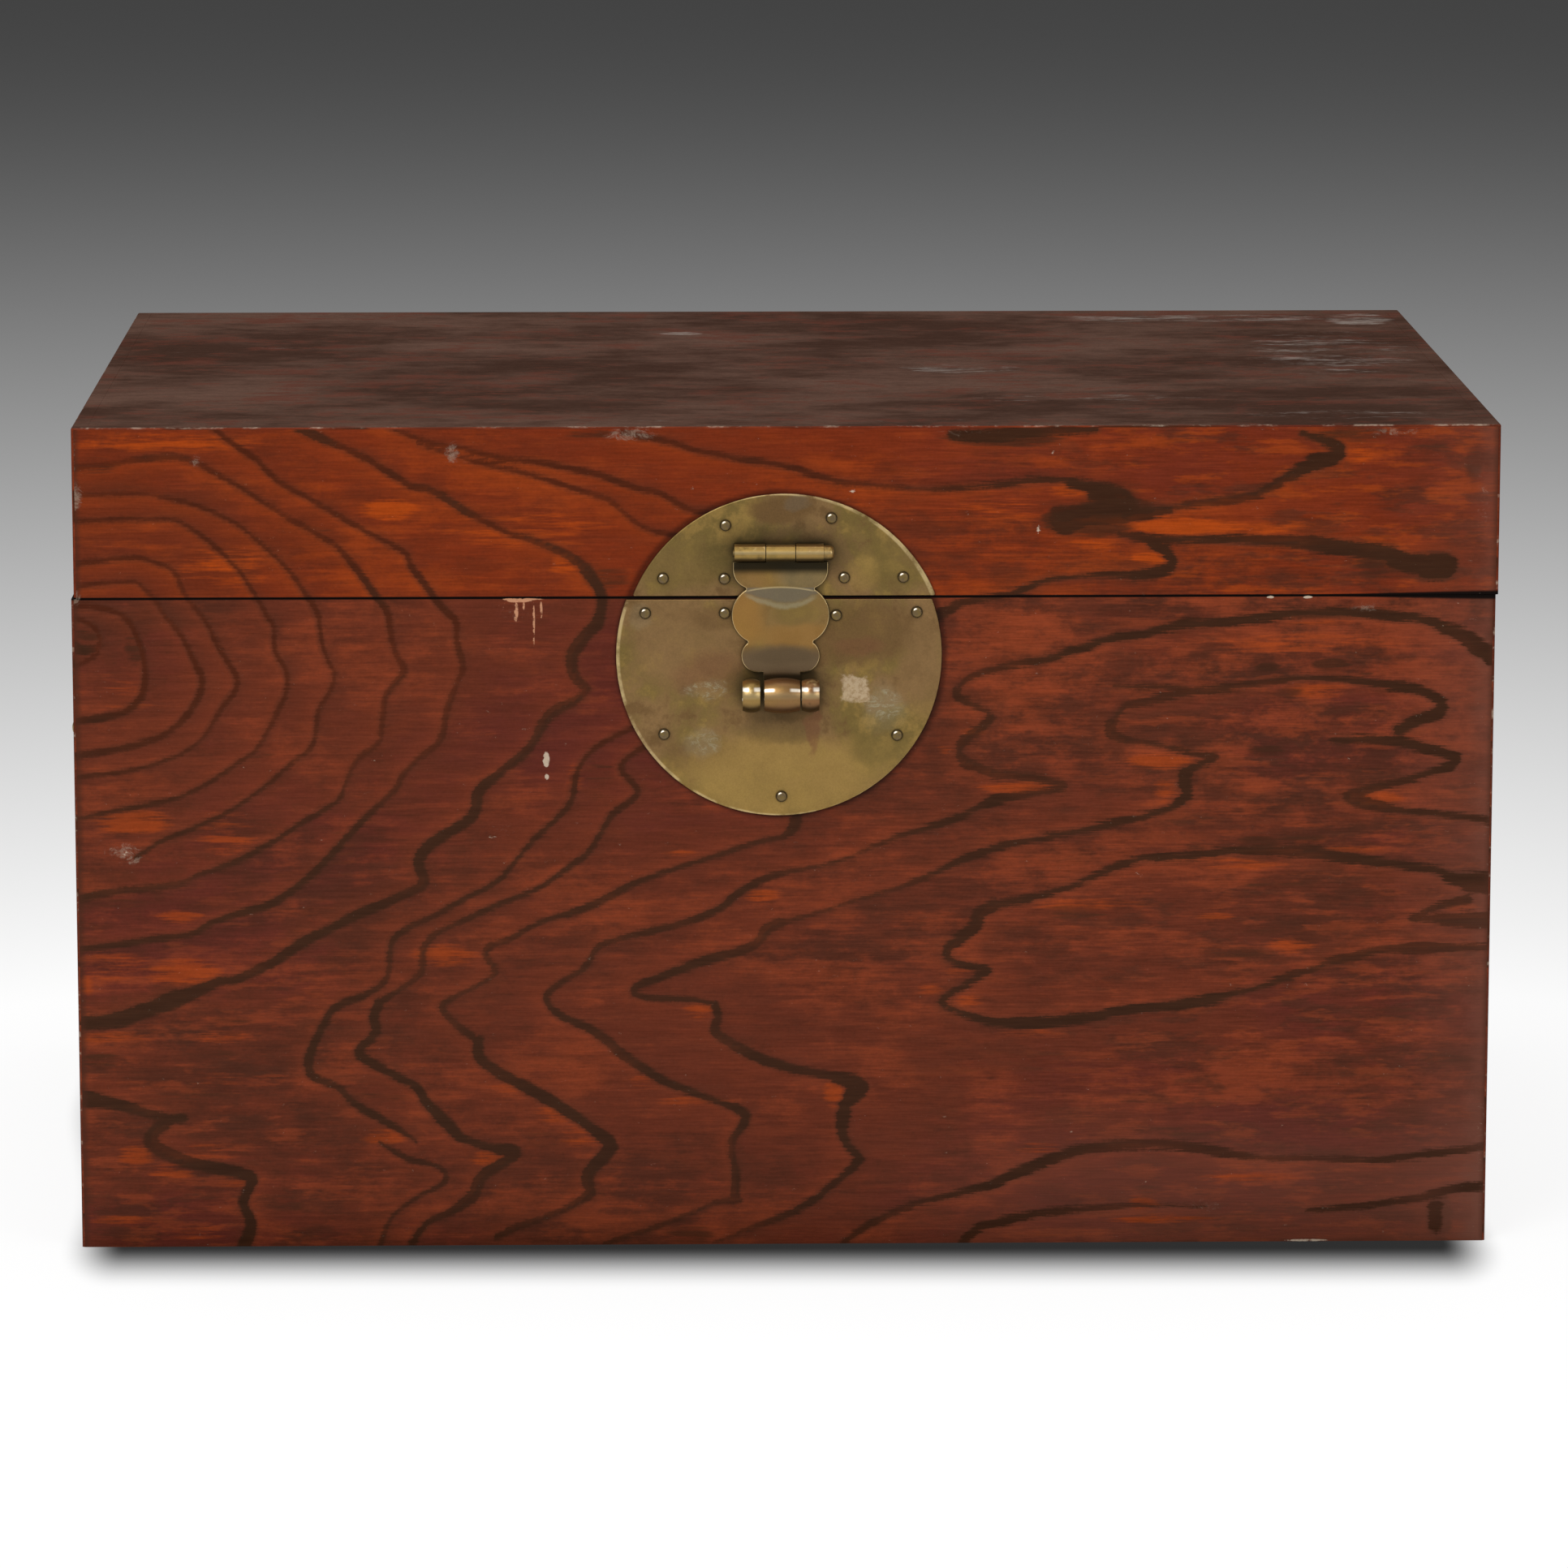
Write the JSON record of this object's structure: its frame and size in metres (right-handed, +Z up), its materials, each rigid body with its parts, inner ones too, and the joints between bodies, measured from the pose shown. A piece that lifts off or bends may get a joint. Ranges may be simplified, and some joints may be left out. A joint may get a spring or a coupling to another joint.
{
  "type": "storage trunk",
  "caption": "Rectangular lacquered wood trunk with a lift-up lid on rear hinges, a round split lock plate and a lobed hasp over lock eyes.",
  "frame": {"origin": "middle of the underside, on the surface that the trunk stands on", "axes": "+Z up; +X along the width, to the right of someone who faces the lock; -Y out of the front face"},
  "size_m": [0.836, 0.5917, 0.47],
  "materials": {
    "front_lacquer": "glossy orange-red lacquer over bold dark flame grain",
    "side_lacquer": "glossy red-brown lacquer over dark grain",
    "top_lacquer": "worn dark brown lacquer, scuffed",
    "bare_wood": "bare aged wood",
    "plate_brass": "dull patinated brass, brushed, with bright edges",
    "hasp_brass": "handled brass, satin, darker in the corners",
    "fittings_brass": "dull aged brass",
    "nail_steel": "dark dome-headed nails, worn bright on top"
  },
  "bodies": {
    "carcass": {"front_board": "front_lacquer", "back_board": "side_lacquer", "left_side_board": "side_lacquer", "right_side_board": "side_lacquer", "bottom_board": "bare_wood", "front_lip": "bare_wood", "back_lip": "bare_wood", "left_lip": "bare_wood", "right_lip": "bare_wood", "body_lock_plate": "plate_brass", "body_plate_nails": "nail_steel", "left_lock_eye": "hasp_brass", "right_lock_eye": "hasp_brass", "left_hinge_body_leaf": "fittings_brass", "right_hinge_body_leaf": "fittings_brass", "left_hinge_pin": "fittings_brass", "right_hinge_pin": "fittings_brass", "body_hinge_nails": "nail_steel", "left_front_handle_post": "fittings_brass", "left_back_handle_post": "fittings_brass", "right_front_handle_post": "fittings_brass", "right_back_handle_post": "fittings_brass", "left_front_handle_rose": "fittings_brass", "left_back_handle_rose": "fittings_brass", "right_front_handle_rose": "fittings_brass", "right_back_handle_rose": "fittings_brass"},
    "lid": {"lid_front_rail": "front_lacquer", "lid_back_rail": "side_lacquer", "lid_left_rail": "side_lacquer", "lid_right_rail": "side_lacquer", "lid_top_board": "top_lacquer", "lid_lock_plate": "plate_brass", "lid_plate_nails": "nail_steel", "left_hasp_strap": "hasp_brass", "right_hasp_strap": "hasp_brass", "hasp_pin": "hasp_brass", "left_hinge_lid_leaf": "fittings_brass", "right_hinge_lid_leaf": "fittings_brass", "lid_hinge_nails": "nail_steel"},
    "hasp": {"hasp": "hasp_brass"},
    "left_bail": {"left_bail": "fittings_brass"},
    "right_bail": {"right_bail": "fittings_brass"}
  },
  "joints": [
    {"name": "lid_hinge", "type": "hinge", "parent": "carcass", "child": "lid", "pos_m": [0, 0.2849, 0.37315], "axis": [-1, 0, 0], "range_deg": [0, 105]},
    {"name": "hasp_hinge", "type": "hinge", "parent": "lid", "child": "hasp", "pos_m": [-0.0025, -0.28665, 0.399], "axis": [-1, 0, 0], "range_deg": [0, 165]},
    {"name": "left_bail_swing", "type": "hinge", "parent": "carcass", "child": "left_bail", "pos_m": [-0.411, 0, 0.262], "axis": [0, 1, 0], "range_deg": [0, 90]},
    {"name": "right_bail_swing", "type": "hinge", "parent": "carcass", "child": "right_bail", "pos_m": [0.411, 0, 0.262], "axis": [0, -1, 0], "range_deg": [0, 90]}
  ]
}
